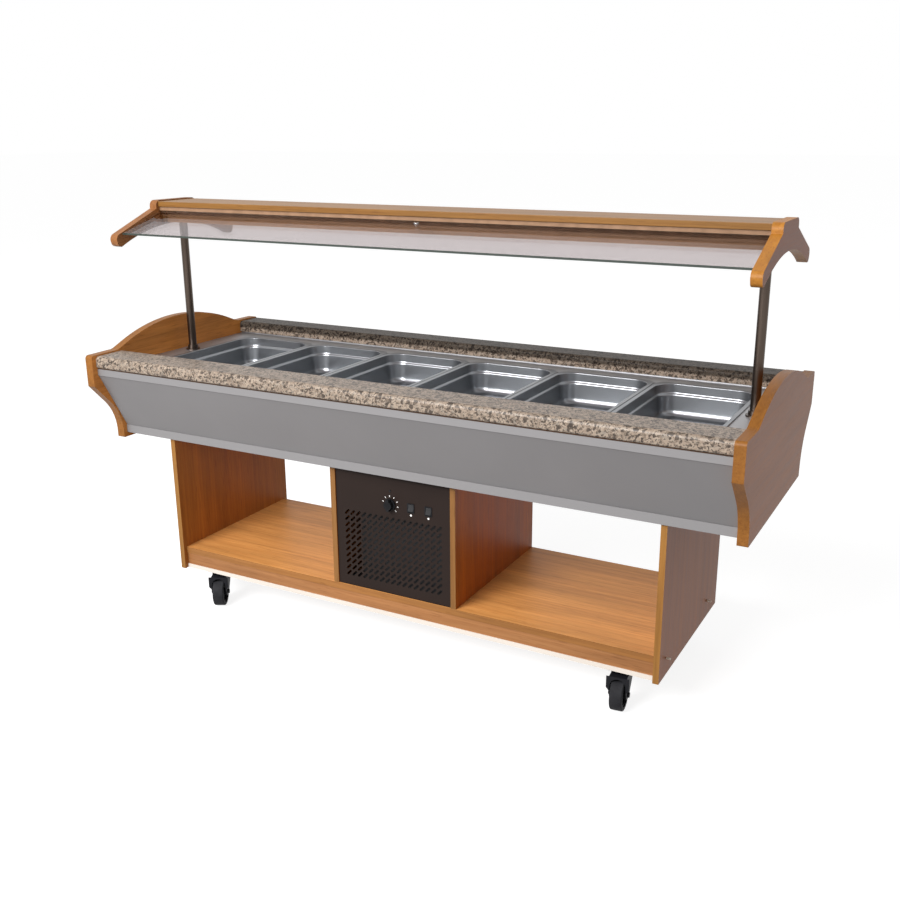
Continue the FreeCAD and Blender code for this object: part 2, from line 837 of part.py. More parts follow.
def control_panel():
    """Front grille with its holes for the thermostat's shaft and the switches."""
    front = -grille_face
    shaft_hole = Part.makeCircle(shaft_radius + shaft_hole_play, Vector(knob_x, front, knob_z),
                                 Vector(0, 1, 0))
    cut_outs = [Part.Wire(shaft_hole)]
    for x in switch_x:
        outline = rectangle(switch_body_half_x(), switch_body_half_z(), 0, x, switch_z)
        cut_outs.append(upright_wire(outline, front))
    return grille(cut_outs)


def rear_grille():
    """The same slotted panel on the back, with a cut-out for the power inlet."""
    outline = rectangle(inlet_width / 2, inlet_height / 2, 0, inlet_x, inlet_z)
    return [mirror_y(piece) for piece in grille([upright_wire(outline, -grille_face)])]


# ------------------------------------------------------------------ controls
def knob():
    """Round knob with a skirt and a grip bar, bored for the thermostat's shaft."""
    back = -grille_face - knob_stand_off
    centre = Vector(knob_x, back, knob_z)
    skirt = rod(knob_radius, centre, centre - Vector(0, knob_skirt, 0))
    drum = rod(knob_drum_radius, centre, centre - Vector(0, knob_height, 0))
    grip = box(knob_x - knob_grip_width / 2, knob_x + knob_grip_width / 2, back, back - knob_height,
               knob_z - knob_radius, knob_z + knob_radius)
    grip = grip.common(rod(knob_radius, centre, centre - Vector(0, knob_height, 0)))
    bore = rod(shaft_radius + running_gap, centre, centre - Vector(0, knob_bore_depth, 0))
    return skirt.fuse(drum).fuse(grip).cut(bore).removeSplitter()


def thermostat():
    """Thermostat behind the panel, with its shaft through the hole."""
    back = -grille_face + grille_sheet
    body = box(knob_x - thermostat_width / 2, knob_x + thermostat_width / 2, back, back + thermostat_depth,
               knob_z - thermostat_height / 2, knob_z + thermostat_height / 2)
    tip = -grille_face - knob_stand_off - knob_bore_depth + shaft_end_gap
    return body.fuse(rod(shaft_radius, Vector(knob_x, tip, knob_z), Vector(knob_x, back, knob_z)))


def switch_body_half_x():
    return rocker_width / 2 + rocker_play + switch_wall


def switch_body_half_z():
    return math.hypot(rocker_height / 2, rocker_front) + rocker_play / 2 + switch_wall


def switch_body(x):
    """Bezel and hollow body of one switch; the rocker's pins turn in its side walls."""
    face = -grille_face
    half_x = switch_body_half_x()
    half_z = switch_body_half_z()
    bezel = along_y(rectangle(bezel_width / 2, bezel_height / 2, arris, x, switch_z),
                    face - bezel_thickness, face)
    body = along_y(rectangle(half_x, half_z, 0, x, switch_z), face, face + switch_depth)
    hollow = along_y(rectangle(half_x - switch_wall, half_z - switch_wall, 0, x, switch_z),
                     face - bezel_thickness - overcut, face + switch_depth - switch_wall)
    pivot = rod(rocker_pin_radius + running_gap, Vector(x - half_x - overcut, rocker_pivot_y(), switch_z),
                Vector(x + half_x + overcut, rocker_pivot_y(), switch_z))
    return bezel.fuse(body).cut(hollow).cut(pivot).removeSplitter()


def rocker_pivot_y():
    return -grille_face + rocker_pin_radius + rocker_pin_cover


def rocker(x):
    """Rocker with a shallow V front, at rest tilted to one side."""
    pivot = rocker_pivot_y()
    half = rocker_height / 2
    dip = half * math.tan(math.radians(rocker_tilt))
    outline = [
        (pivot + rocker_back, switch_z - half * rocker_back_share, rocker_round),
        (pivot - rocker_front, switch_z - half, rocker_round),
        (pivot - rocker_front + dip, switch_z, 0),
        (pivot - rocker_front, switch_z + half, rocker_round),
        (pivot + rocker_back, switch_z + half * rocker_back_share, rocker_round),
    ]
    body = along_x(outline, x - rocker_width / 2, x + rocker_width / 2)
    reach = rocker_width / 2 + rocker_pin_length
    pin = rod(rocker_pin_radius, Vector(x - reach, pivot, switch_z), Vector(x + reach, pivot, switch_z))
    shape = body.fuse(pin)
    shape.rotate(Vector(x, pivot, switch_z), Vector(1, 0, 0), -rocker_tilt)
    return shape


def panel_screw():
    """Round head of the screw above the dial."""
    seat = Vector(knob_x, -grille_face, panel_screw_z)
    return rod(panel_screw_radius, seat, seat - Vector(0, panel_screw_height, 0))


def power_inlet():
    """Plain appliance inlet on the rear grille."""
    face = grille_face
    outline = rectangle(inlet_width / 2, inlet_height / 2, inlet_round, inlet_x, inlet_z)
    flange = along_y(rectangle(inlet_width / 2 + inlet_flange, inlet_height / 2 + inlet_flange,
                               inlet_flange_round, inlet_x, inlet_z),
                     face, face + inlet_flange_thickness)
    body = along_y(outline, face, face - inlet_depth)
    cavity = along_y(rectangle(inlet_width / 2 - inlet_cavity_wall, inlet_height / 2 - inlet_cavity_wall,
                               inlet_round, inlet_x, inlet_z),
                     face + inlet_flange_thickness + overcut, face - inlet_cavity_depth)
    return flange.fuse(body).cut(cavity).removeSplitter()


# ------------------------------------------------------------------ condensing unit
def unit_tray():
    """Shallow steel tray on the shelf."""
    outer = box(-tray_reach_x, tray_reach_x, -tray_reach_y, tray_reach_y, shelf_top, shelf_top + tray_lip)
    return outer.cut(box(tray_sheet - tray_reach_x, tray_reach_x - tray_sheet,
                         tray_sheet - tray_reach_y, tray_reach_y - tray_sheet,
                         condenser_bottom, shelf_top + tray_lip + overcut))


def condenser():
    """Finned block, and behind it a shroud with a round mouth for the fan."""
    block = box(condenser_left, condenser_right, condenser_front, condenser_back,
                condenser_bottom, condenser_top)
    centre_z = condenser_bottom + condenser_height / 2
    back = condenser_back + shroud_depth
    shroud = box(condenser_left, condenser_right, condenser_back, back, condenser_bottom, condenser_top)
    shroud = shroud.cut(box(condenser_left + shroud_sheet, condenser_right - shroud_sheet,
                            condenser_back - overcut, back - shroud_sheet,
                            condenser_bottom + shroud_sheet, condenser_top - shroud_sheet))
    mouth = rod(fan_radius + fan_ring_gap, Vector(fan_x, back - shroud_sheet - overcut, centre_z),
                Vector(fan_x, back + overcut, centre_z))
    return [block, shroud.cut(mouth)]


def fan_centre():
    return Vector(fan_x, condenser_back + fan_set_back, condenser_bottom + condenser_height / 2)


def fan_blades():
    """Hub with slanting blades, bored for the motor's shaft."""
    start = fan_centre()
    end = start + Vector(0, fan_hub_length, 0)
    fan = rod(fan_hub_radius, start, end)
    middle = start + Vector(0, fan_hub_length / 2, 0)
    blade = box(-fan_blade_chord / 2, fan_blade_chord / 2, -fan_blade_thickness / 2, fan_blade_thickness / 2,
                fan_hub_radius - fan_blade_root, fan_radius - fan_blade_tip_gap)
    blade.rotate(Vector(0, 0, 0), Vector(0, 0, 1), fan_blade_angle)
    blade.translate(middle)
    for index in range(fan_blade_count):
        copy = blade.copy()
        copy.rotate(middle, Vector(0, 1, 0), index * 360.0 / fan_blade_count)
        fan = fan.fuse(copy)
    bore = rod(motor_shaft_radius + running_gap, start + Vector(0, fan_hub_nose, 0),
               end + Vector(0, overcut, 0))
    return fan.cut(bore).removeSplitter()


def fan_motor():
    """Motor with its shaft in the fan's hub and a foot down to the tray."""
    start = fan_centre() + Vector(0, fan_hub_length + motor_gap, 0)
    end = start + Vector(0, motor_length, 0)
    motor = rod(motor_radius, start, end)
    shaft = rod(motor_shaft_radius, fan_centre() + Vector(0, fan_hub_nose + shaft_end_gap, 0), end)
    foot_y = (start.y + end.y) / 2
    stem = box(fan_x - motor_foot_width / 2, fan_x + motor_foot_width / 2,
               foot_y - motor_foot_thickness / 2, foot_y + motor_foot_thickness / 2,
               condenser_bottom, start.z)
    sole = box(fan_x - motor_foot_width / 2, fan_x + motor_foot_width / 2,
               foot_y - motor_foot_width / 4, foot_y + motor_foot_width / 4,
               condenser_bottom, condenser_bottom + motor_foot_thickness)
    return motor.fuse(shaft).fuse(stem).fuse(sole).removeSplitter()


def compressor():
    """Hermetic compressor on four feet."""
    bottom = condenser_bottom + compressor_foot
    shell = rod(compressor_radius, Vector(compressor_x, compressor_y, bottom),
                Vector(compressor_x, compressor_y, compressor_top))
    rims = [edge for edge in shell.Edges if len(edge.Vertexes) == 1]
    shell = shell.makeFillet(compressor_round, rims)
    for side_x in (-1, 1):
        for side_y in (-1, 1):
            foot = Vector(compressor_x + side_x * compressor_foot_spread,
                          compressor_y + side_y * compressor_foot_spread, condenser_bottom)
            rise = Vector(0, 0, compressor_foot + compressor_foot_cover)
            shell = shell.fuse(rod(compressor_foot_radius, foot, foot + rise))
    return shell.removeSplitter()


def refrigerant_pipes():
    """Coil on the well's floor with its two ends down to the unit, and the discharge line."""
    points = [Vector(coil_drop_x, coil_first_y, coil_height)]
    side = 1
    for index in range(coil_runs - 1):
        y = coil_first_y + index * coil_spacing
        points.append(Vector(side * coil_half_length, y, coil_height))
        points.append(Vector(side * coil_half_length, y + coil_spacing, coil_height))
        side = -side
    points.append(Vector(coil_drop_x, -coil_first_y, coil_height))
    tube = coil_tube / 2
    coil = bent_tube(points, tube, coil_spacing / 2)
    for end, bottom in ((points[0], condenser_top), (points[-1], compressor_top)):
        coil = coil.fuse(Part.makeSphere(tube, end))
        coil = coil.fuse(rod(tube, end, Vector(end.x, end.y, bottom)))
    middle = (condenser_front + condenser_back) / 2
    start = Vector(discharge_x, compressor_y, compressor_top)
    discharge = bent_tube([
        start,
        Vector(discharge_x, compressor_y, discharge_height),
        Vector(discharge_x, middle, discharge_height),
        Vector(discharge_x, middle, condenser_top),
    ], discharge_tube / 2, pipe_bend)
    return [coil.removeSplitter(), discharge]


# ------------------------------------------------------------------ casters, about the swivel axis
def caster_plate():
    """Top plate with its screws, ball race and kingpin, which don't turn."""
    top = base_bottom
    plate = along_z(rectangle(plate_width / 2, plate_length / 2, plate_corner), top - plate_thickness, top)
    race = rod(race_radius, Vector(0, 0, race_bottom), Vector(0, 0, top - plate_thickness))
    nut_top = crown_top - crown_thickness - seat_gap
    pin = rod(kingpin_radius, Vector(0, 0, nut_top - kingpin_nut_height), Vector(0, 0, race_bottom + overcut))
    nut = rod(kingpin_nut_radius, Vector(0, 0, nut_top - kingpin_nut_height), Vector(0, 0, nut_top))
    solids = [plate.fuse(race).fuse(pin).fuse(nut).removeSplitter()]
    for side_x in (-1, 1):
        for side_y in (-1, 1):
            x = side_x * (plate_width / 2 - plate_screw_inset)
            y = side_y * (plate_length / 2 - plate_screw_inset)
            head = Vector(x, y, top - plate_thickness)
            solids.append(rod(plate_screw_radius, head - Vector(0, 0, plate_screw_height), head))
    return solids


def caster_fork():
    """Swivel fork: a crown round the kingpin, two legs, and an arched front between flared edges."""
    outer = leg_inner + fork_sheet
    axle_y = -caster_trail
    front = axle_y - fork_front_reach
    crown = along_z(rectangle(crown_radius, crown_radius, crown_corner),
                    crown_top - crown_thickness, crown_top)
    bridge = box(-outer, outer, front, 0, crown_top - fork_sheet, crown_top)
    leg_outline = [
        (crown_radius, crown_top, 0),
        (front, crown_top, 0),
        (front, fork_flare_bottom, fork_corner),
        (axle_y - fork_end_radius, wheel_radius - fork_end_radius, fork_end_round),
        (axle_y + fork_end_radius, wheel_radius - fork_end_radius, fork_end_round),
        (crown_radius, crown_top - crown_thickness - fork_rear_drop, fork_corner),
    ]
    flare_outline = [
        (outer - fork_sheet, crown_top, 0),
        (outer + fork_flare, crown_top, 0),
        (outer + fork_flare, fork_flare_bottom + fork_flare_rise, arris),
        (outer - fork_sheet, fork_flare_bottom, 0),
    ]
    arch_centre = crown_top - fork_arch_drop - leg_inner
    front_plate = box(-outer, outer, front, front + fork_sheet, arch_centre, crown_top)
    arch = rod(leg_inner, Vector(0, front - overcut, arch_centre),
               Vector(0, front + fork_sheet + overcut, arch_centre))
    fork = crown.fuse(bridge).fuse(front_plate.cut(arch))
    for side in (-1, 1):
        fork = fork.fuse(along_x(leg_outline, side * leg_inner, side * outer))
        flare = [(side * x, z, radius) for x, z, radius in flare_outline]
        fork = fork.fuse(along_y(flare, front, front + fork_sheet))
    fork = fork.cut(rod(kingpin_radius + running_gap, Vector(0, 0, crown_top - crown_thickness - overcut),
                        Vector(0, 0, crown_top + overcut)))
    fork = fork.cut(rod(axle_radius, Vector(-outer - overcut, axle_y, wheel_radius),
                        Vector(outer + overcut, axle_y, wheel_radius)))
    return fork.removeSplitter()


def caster_axle():
    """Axle bolt with its head and nut outside the fork's legs."""
    outer = leg_inner + fork_sheet
    reach = outer + axle_head_height
    y = -caster_trail
    axle = rod(axle_radius, Vector(-reach, y, wheel_radius), Vector(reach, y, wheel_radius))
    for side in (-1, 1):
        axle = axle.fuse(rod(axle_head_radius, Vector(side * outer, y, wheel_radius),
                             Vector(side * reach, y, wheel_radius)))
    return axle.removeSplitter()


def wheel_core():
    """Wheel centre with a hub, a thinner web and a bore for the axle."""
    axis = lambda x: Vector(x, -caster_trail, wheel_radius)
    half = core_width / 2
    core = rod(core_radius, axis(-half), axis(half))
    for side in (-1, 1):
        dish = rod(core_radius - core_lip, axis(side * half), axis(side * web_thickness / 2))
        core = core.cut(dish)
    core = core.fuse(rod(hub_radius, axis(-hub_length / 2), axis(hub_length / 2)))
    return core.cut(rod(axle_radius + running_gap, axis(-hub_length), axis(hub_length))).removeSplitter()


def wheel_tyre():
    """Rubber tyre with rounded shoulders."""
    axis = lambda x: Vector(x, -caster_trail, wheel_radius)
    half = tyre_width / 2
    tyre = rod(wheel_radius, axis(-half), axis(half))
    rims = [edge for edge in tyre.Edges if len(edge.Vertexes) == 1]
    tyre = tyre.makeFillet(tyre_round, rims)
    return tyre.cut(rod(core_radius + press_gap, axis(-half - overcut), axis(half + overcut)))


# ------------------------------------------------------------------ nodes
def save(name, solids):
    """Write one node; several solids go into one compound."""
    shape = solids[0] if len(solids) == 1 else Part.makeCompound(solids)
    if not shape.isValid():
        raise ValueError("invalid shape in " + name)
    shape.exportStep("parts/" + name + ".step")


def save_counter():
    panel = end_panel()
    save("end_panel_right", [panel])
    save("end_panel_left", [mirror_x(panel)])
    save("granite_front", [stone_slab(stone_front_reach, stone_front_inner, stone_round)])
    save("granite_back", [mirror_y(stone_slab(stone_back_reach, stone_back_inner, stone_back_round))])
    sheet = fascia()
    save("fascia_front", [sheet])
    save("fascia_back", [mirror_y(sheet)])
    save("fascia_trims", fascia_trims())
    save("counter_rails", counter_rails())
    save("counter_floor", [counter_floor()])
    save("well_tub", [deck(), drain()] + well_plates())
    save("well_insulation", insulation())
    save("pan_bars", pan_bars())
    first = pan()
    for index in range(pan_count):
        x = (index - (pan_count - 1) / 2) * pan_pitch
        save("pan_" + str(index + 1), [moved(first, x)])


def save_canopy():
    bracket = wing()
    save("wing_right", [bracket])
    save("wing_left", [mirror_x(bracket)])
    save("canopy_board", [top_board()])
    save("light_box", [light_box()])
    save("lamp_and_diffuser", lamp())
    pane = glass_pane()
    save("glass_front", [pane])
    save("glass_back", [mirror_y(pane)])
    channel = glass_channel()
    save("glass_channels", [channel, mirror_y(channel)])
    button = glass_fixing()
    save("glass_fixings", [button, mirror_y(button)])
    pieces = [post(), post_flange(), post_anchor()]
    save("canopy_posts", pieces + [mirror_x(piece) for piece in pieces])


def save_base():
    side = base_side()
    save("base_side_right", [side])
    save("base_side_left", [mirror_x(side)])
    wall = divider()
    save("bay_dividers", [wall, mirror_x(wall)])
    save("base_shelf", [box(-side_inner, side_inner, -bay_front, bay_front, shelf_bottom, shelf_top)])
    save("plinth_boards", plinth_boards())
    save("chassis_frame", [chassis()])
    save("fixing_caps", fixing_caps())
    save("control_panel", control_panel())
    save("rear_grille", rear_grille())


def save_controls():
    save("thermostat_knob", [knob()])
    switches = [switch_body(x) for x in switch_x]
    save("control_bodies", [thermostat(), power_inlet(), panel_screw()] + switches)
    save("rocker_left", [rocker(switch_x[0])])
    save("rocker_right", [rocker(switch_x[1])])


def save_unit():
    save("unit_tray", [unit_tray()])
    save("condenser", condenser())
    save("fan_blades", [fan_blades()])
    save("fan_motor", [fan_motor()])
    save("compressor", [compressor()])
    save("refrigerant_pipes", refrigerant_pipes())


def save_casters():
    plate = caster_plate()
    fork = [caster_fork(), caster_axle()]
    core = wheel_core()
    tyre = wheel_tyre()
    corners = (("fl", -1, -1), ("fr", 1, -1), ("bl", -1, 1), ("br", 1, 1))
    plates = []
    for (name, side_x, side_y), turn in zip(corners, caster_turns):
        x = side_x * caster_x
        y = side_y * caster_y
        plates += [moved(piece, x, y) for piece in plate]
        save("caster_fork_" + name, [moved(turned(piece, turn), x, y) for piece in fork])
        save("caster_wheel_" + name, [moved(turned(core, turn), x, y)])
        save("caster_tyre_" + name, [moved(turned(tyre, turn), x, y)])
    save("caster_plates", plates)


os.makedirs("parts", exist_ok=True)
save_counter()
save_canopy()
save_base()
save_controls()
save_unit()
save_casters()
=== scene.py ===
import math

import bpy
from mathutils import Matrix, Vector


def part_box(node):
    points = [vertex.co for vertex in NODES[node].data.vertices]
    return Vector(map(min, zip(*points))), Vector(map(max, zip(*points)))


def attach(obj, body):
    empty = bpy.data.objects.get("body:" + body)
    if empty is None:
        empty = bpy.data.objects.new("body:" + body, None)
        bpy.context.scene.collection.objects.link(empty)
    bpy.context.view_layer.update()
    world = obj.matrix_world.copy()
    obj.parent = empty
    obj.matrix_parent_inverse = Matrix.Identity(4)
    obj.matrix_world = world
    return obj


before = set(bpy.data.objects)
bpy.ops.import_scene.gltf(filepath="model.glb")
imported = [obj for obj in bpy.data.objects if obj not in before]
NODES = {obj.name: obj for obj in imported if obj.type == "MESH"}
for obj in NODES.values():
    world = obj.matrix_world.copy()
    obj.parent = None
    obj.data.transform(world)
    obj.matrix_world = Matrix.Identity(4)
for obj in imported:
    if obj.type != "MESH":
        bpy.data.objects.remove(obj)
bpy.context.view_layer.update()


# ------------------------------------------------------------------ camera
# A perspective fit to the photograph's edges gave these: metres, radians and pixels of its frame.
EYE = Vector((1.62254, -2.86561, 1.62706))
YAW = 0.5009
PITCH = 0.3002
ROLL = -0.0066
FOCAL_PIXELS = 1044.62
FRAME_PIXELS = 900.0
SENSOR = 36.0  # millimetres
FAR_CLIP = 200.0


def make_camera():
    """A level camera turned by YAW, tipped down by PITCH and rolled by ROLL."""
    ahead = Vector((-math.sin(YAW) * math.cos(PITCH), math.cos(YAW) * math.cos(PITCH), -math.sin(PITCH)))
    level = Vector((math.cos(YAW), math.sin(YAW), 0.0))
    above = level.cross(ahead)
    right = math.cos(ROLL) * level + math.sin(ROLL) * above
    up = math.cos(ROLL) * above - math.sin(ROLL) * level
    data = bpy.data.cameras.new("camera")
    data.sensor_fit = "HORIZONTAL"
    data.sensor_width = SENSOR
    data.lens = FOCAL_PIXELS / FRAME_PIXELS * SENSOR
    data.clip_end = FAR_CLIP
    camera = bpy.data.objects.new("camera", data)
    bpy.context.scene.collection.objects.link(camera)
    turn = Matrix((right, up, -ahead)).transposed().to_4x4()
    camera.matrix_world = Matrix.Translation(EYE) @ turn
    bpy.context.scene.camera = camera


# ------------------------------------------------------------------ node helpers
class Graph:
    """Short names for building a material's nodes."""

    def __init__(self, name):
        self.material = bpy.data.materials.new(name)
        self.material.use_nodes = True
        self.tree = self.material.node_tree
        self.tree.nodes.clear()
        self.output = self.tree.nodes.new("ShaderNodeOutputMaterial")
        self._point = None

    def node(self, kind, settings=None, **inputs):
        """A new node with its settings and inputs; an underscore in an input's name stands for a space."""
        made = self.tree.nodes.new(kind)
        for key, value in (settings or {}).items():
            setattr(made, key, value)
        for key, value in inputs.items():
            self.put(made, key.replace("_", " "), value)
        return made

    def put(self, made, key, value):
        """Link a socket or set a value; a number as the key is the input's place."""
        socket = made.inputs[int(key)] if key.isdigit() else made.inputs[key]
        if isinstance(value, bpy.types.NodeSocket):
            self.tree.links.new(value, socket)
        elif value is not None:
            socket.default_value = value

    def point(self):
        """The object's own coordinates, which are the shared frame's metres."""
        if self._point is None:
            self._point = self.node("ShaderNodeTexCoord").outputs["Object"]
        return self._point

    def stretched(self, scale, shift=(0.0, 0.0, 0.0)):
        """The point scaled along each axis and shifted, for patterns with a direction."""
        made = self.node("ShaderNodeMapping", Vector=self.point(), Scale=scale, Location=shift)
        return made.outputs["Vector"]

    def parts_of(self, vector):
        """The X, Y and Z outputs of a vector."""
        return self.node("ShaderNodeSeparateXYZ", Vector=vector).outputs

    def normal_parts(self):
        return self.parts_of(self.node("ShaderNodeTexCoord").outputs["Normal"])

    def noise(self, vector, scale, detail=3.0, rough=0.55, distortion=0.0):
        made = self.node("ShaderNodeTexNoise", Vector=vector, Scale=scale, Detail=detail, Roughness=rough,
                         Distortion=distortion)
        return made.outputs["Fac"]

    def cell_tones(self, vector, scale):
        """Three independent random tones for each cell of a Voronoi pattern."""
        cells = self.node("ShaderNodeTexVoronoi", Vector=vector, Scale=scale)
        return self.node("ShaderNodeSeparateColor", Color=cells.outputs["Color"]).outputs

    def ramp(self, factor, stops):
        """Colour ramp from (position, colour) stops; a number stands for a grey."""
        made = self.node("ShaderNodeValToRGB", Fac=factor)
        elements = made.color_ramp.elements
        while len(elements) < len(stops):
            elements.new(0.5)
        for element, (position, colour) in zip(elements, stops):
            element.position = position
            grey = isinstance(colour, (int, float))
            element.color = (colour, colour, colour, 1.0) if grey else (*colour, 1.0)
        return made.outputs["Color"]

    def mix(self, factor, first, second, blend="MIX"):
        made = self.node("ShaderNodeMix", {"data_type": "RGBA", "blend_type": blend})
        self.put(made, "0", factor)
        self.put(made, "6", first if isinstance(first, bpy.types.NodeSocket) else (*first, 1.0))
        self.put(made, "7", second if isinstance(second, bpy.types.NodeSocket) else (*second, 1.0))
        return made.outputs[2]

    def math(self, operation, first, second=None):
        made = self.node("ShaderNodeMath", {"operation": operation})
        self.put(made, "0", first)
        self.put(made, "1", second)
        return made.outputs[0]

    def above(self, value, limit):
        """1 where the value is greater than the limit, else 0."""
        return self.math("GREATER_THAN", value, limit)

    def below(self, value, limit):
        return self.math("LESS_THAN", value, limit)

    def spread(self, value, low, high, from_low=0.0, from_high=1.0):
        """The value carried from one range to another, held at its ends."""
        made = self.node("ShaderNodeMapRange", Value=value, From_Min=from_low, From_Max=from_high,
                         To_Min=low, To_Max=high)
        return made.outputs["Result"]

    def bump(self, height, strength, distance):
        made = self.node("ShaderNodeBump", Height=height, Strength=strength, Distance=distance)
        return made.outputs["Normal"]

    def blend(self, factor, first, second):
        """A shader that goes from first to second as the factor goes from 0 to 1."""
        made = self.node("ShaderNodeMixShader")
        self.put(made, "0", factor)
        self.put(made, "1", first.outputs[0])
        self.put(made, "2", second.outputs[0])
        return made

    def finish(self, shader):
        self.tree.links.new(shader.outputs[0], self.output.inputs["Surface"])
        return self.material


def surface(graph, colour, roughness, normal=None, metallic=0.0, **values):
    """The finished material; values go straight onto the shader's own sockets."""
    shader = graph.node("ShaderNodeBsdfPrincipled")
    graph.put(shader, "Base Color", colour if isinstance(colour, bpy.types.NodeSocket) else (*colour, 1.0))
    graph.put(shader, "Roughness", roughness)
    graph.put(shader, "Metallic", metallic)
    if normal is not None:
        graph.put(shader, "Normal", normal)
    for key, value in values.items():
        shader.inputs[key.replace("_", " ")].default_value = value
    return graph.finish(shader)


# ------------------------------------------------------------------ materials
def tinted(colour, factor):
    """The colour times a factor, held under white."""
    return tuple(min(1.0, factor * value) for value in colour)


# A face counts as outer where its normal's x times its own x (metres) is past the first limit, and as
# an edge where its normal's part along the board's thickness is under the second. Outer faces get a painted
# shade tone.
OUTER_FACE = 0.4
EDGE_FACE = 0.6
ACROSS_GRAIN = 9.0
ALONG_GRAIN = 0.55


def wood(name, grain_axis, colour, edge=None, face_axis=None, outer=None, seed=0.0):
    """Cherry laminate: long soft streaks along one axis with fine dark pores.

    edge is the tone of the banding round a board whose large faces are square to face_axis, partly painted
    light set to how light falls on those edges,
    and outer a painted shade: the darker tone given to the faces turned away from the middle of the
    counter.
    """
    graph = Graph(name)
    along = tuple(ALONG_GRAIN if axis == grain_axis else ACROSS_GRAIN for axis in "XYZ")
    fine = tuple(1.6 * value if axis == grain_axis else 4.0 * value for axis, value in zip("XYZ", along))
    bands = graph.noise(graph.stretched(along, (seed, seed, seed)), 2.4, 4.0, 0.6, 0.6)
    streaks = graph.noise(graph.stretched(fine, (seed, 0.3, seed)), 3.2, 5.0, 0.65, 0.2)
    pores = graph.noise(graph.stretched(tuple(6.0 * value for value in along)), 5.0, 2.0, 0.5)
    base = colour
    # Painted shade: faces turned outward take the darker outer tone.
    if outer:
        away = graph.math("MULTIPLY", graph.normal_parts()["X"], graph.parts_of(graph.point())["X"])
        base = graph.mix(graph.above(away, OUTER_FACE), base, outer)
    # Edge banding tone, partly painted light for how light falls on the edges.
    if edge:
        across = graph.math("ABSOLUTE", graph.normal_parts()[face_axis])
        base = graph.mix(graph.below(across, EDGE_FACE), base, edge)
    tone = graph.mix(1.0, base, graph.ramp(bands, [(0.32, 0.74), (0.52, 0.90), (0.70, 1.0)]), "MULTIPLY")
    tone = graph.mix(graph.ramp(streaks, [(0.38, 0.45), (0.62, 0.0)]), tone, (0.62, 0.50, 0.38), "MULTIPLY")
    tone = graph.mix(graph.ramp(pores, [(0.30, 0.40), (0.42, 0.0)]), tone, (0.45, 0.36, 0.28), "MULTIPLY")
    rough = graph.spread(streaks, 0.38, 0.52)
    relief = graph.bump(streaks, 0.12, 0.0006)
    return surface(graph, tone, rough, relief, Specular_IOR_Level=0.22)


GRAINS_PER_METRE = 150.0
MICA_PER_METRE = 330.0
GRAIN_WARP = 0.012
TINT_FADE = 0.006


def granite(name, face_tint, top_tint, dark_from, gloss):
    """Pink-beige granite: small grains, dark mica between them and a faint cloud.

    The tone goes from face_tint to top_tint over a few millimetres above the height dark_from; on the back
    slab the dark top is a painted shade.
    """
    graph = Graph(name)
    warp = graph.noise(graph.point(), 60.0, 3.0, 0.6)
    shifted = graph.node("ShaderNodeVectorMath", {"operation": "MULTIPLY_ADD"})
    graph.put(shifted, "0", warp)
    graph.put(shifted, "1", (GRAIN_WARP, GRAIN_WARP, GRAIN_WARP))
    graph.put(shifted, "2", graph.point())
    place = shifted.outputs[0]
    grain_tone = graph.cell_tones(place, GRAINS_PER_METRE)[0]
    base = graph.ramp(grain_tone, [
        (0.0, (0.050, 0.038, 0.030)),
        (0.20, (0.095, 0.072, 0.056)),
        (0.28, (0.22, 0.170, 0.130)),
        (0.55, (0.30, 0.232, 0.178)),
        (0.82, (0.36, 0.290, 0.228)),
        (1.0, (0.23, 0.195, 0.160)),
    ])
    small_tone = graph.cell_tones(place, MICA_PER_METRE)[1]
    base = graph.mix(graph.ramp(small_tone, [(0.80, 0.0), (0.83, 0.75)]), base, (0.038, 0.031, 0.027))
    cloud = graph.noise(graph.point(), 9.0, 4.0, 0.6)
    base = graph.mix(graph.ramp(cloud, [(0.35, 0.22), (0.65, 0.0)]), base, (0.13, 0.10, 0.078))
    # Tone laid on by height; on the back slab this is a painted shade.
    height = graph.parts_of(graph.point())["Z"]
    top = graph.spread(height, 0.0, 1.0, dark_from, dark_from + TINT_FADE)
    tint = graph.mix(top, (face_tint, face_tint, face_tint), (top_tint, top_tint, top_tint))
    base = graph.mix(1.0, base, tint, "MULTIPLY")
    rough = graph.spread(small_tone, 0.30, 0.42)
    return surface(graph, base, rough, graph.bump(grain_tone, 0.03, 0.0004), Specular_IOR_Level=gloss)


def painted_sheet(name, colour, roughness, speck=0.06, gloss=0.5):
    """Painted metal: a faint cloud in the tone and a fine orange-peel skin."""
    graph = Graph(name)
    cloud = graph.noise(graph.point(), 3.0, 3.0)
    fine = graph.noise(graph.point(), 900.0, 2.0)
    patches = graph.ramp(cloud, [(0.3, 0.0), (0.7, 1.0)])
    tone = graph.mix(patches, tinted(colour, 1.0 - speck), tinted(colour, 1.0 + speck))
    rough = graph.spread(fine, roughness - 0.05, roughness + 0.05)
    return surface(graph, tone, rough, graph.bump(fine, 0.06, 0.0003), Specular_IOR_Level=gloss)


def brushed(name, colour, roughness, axis="X", contrast=0.10, strength=0.05, metallic=1.0):
    """Metal with fine brush lines along one axis and faint smudges."""
    graph = Graph(name)
    lines = tuple(3.0 if name_of_axis == axis else 260.0 for name_of_axis in "XYZ")
    hair = graph.noise(graph.stretched(lines), 4.0, 3.0, 0.6)
    smudge = graph.noise(graph.point(), 7.0, 4.0, 0.6)
    tone = graph.mix(hair, tinted(colour, 1.0 - contrast), tinted(colour, 1.0 + contrast))
    rough = graph.math("ADD", graph.spread(hair, roughness - 0.04, roughness + 0.06),
                       graph.spread(smudge, -0.04, 0.05))
    return surface(graph, tone, rough, graph.bump(hair, strength, 0.0004), metallic)


GLASS_GLOSS = 0.6
CUT_EDGE_LIMIT = 0.2
SEATED_END_LIMIT = 0.9


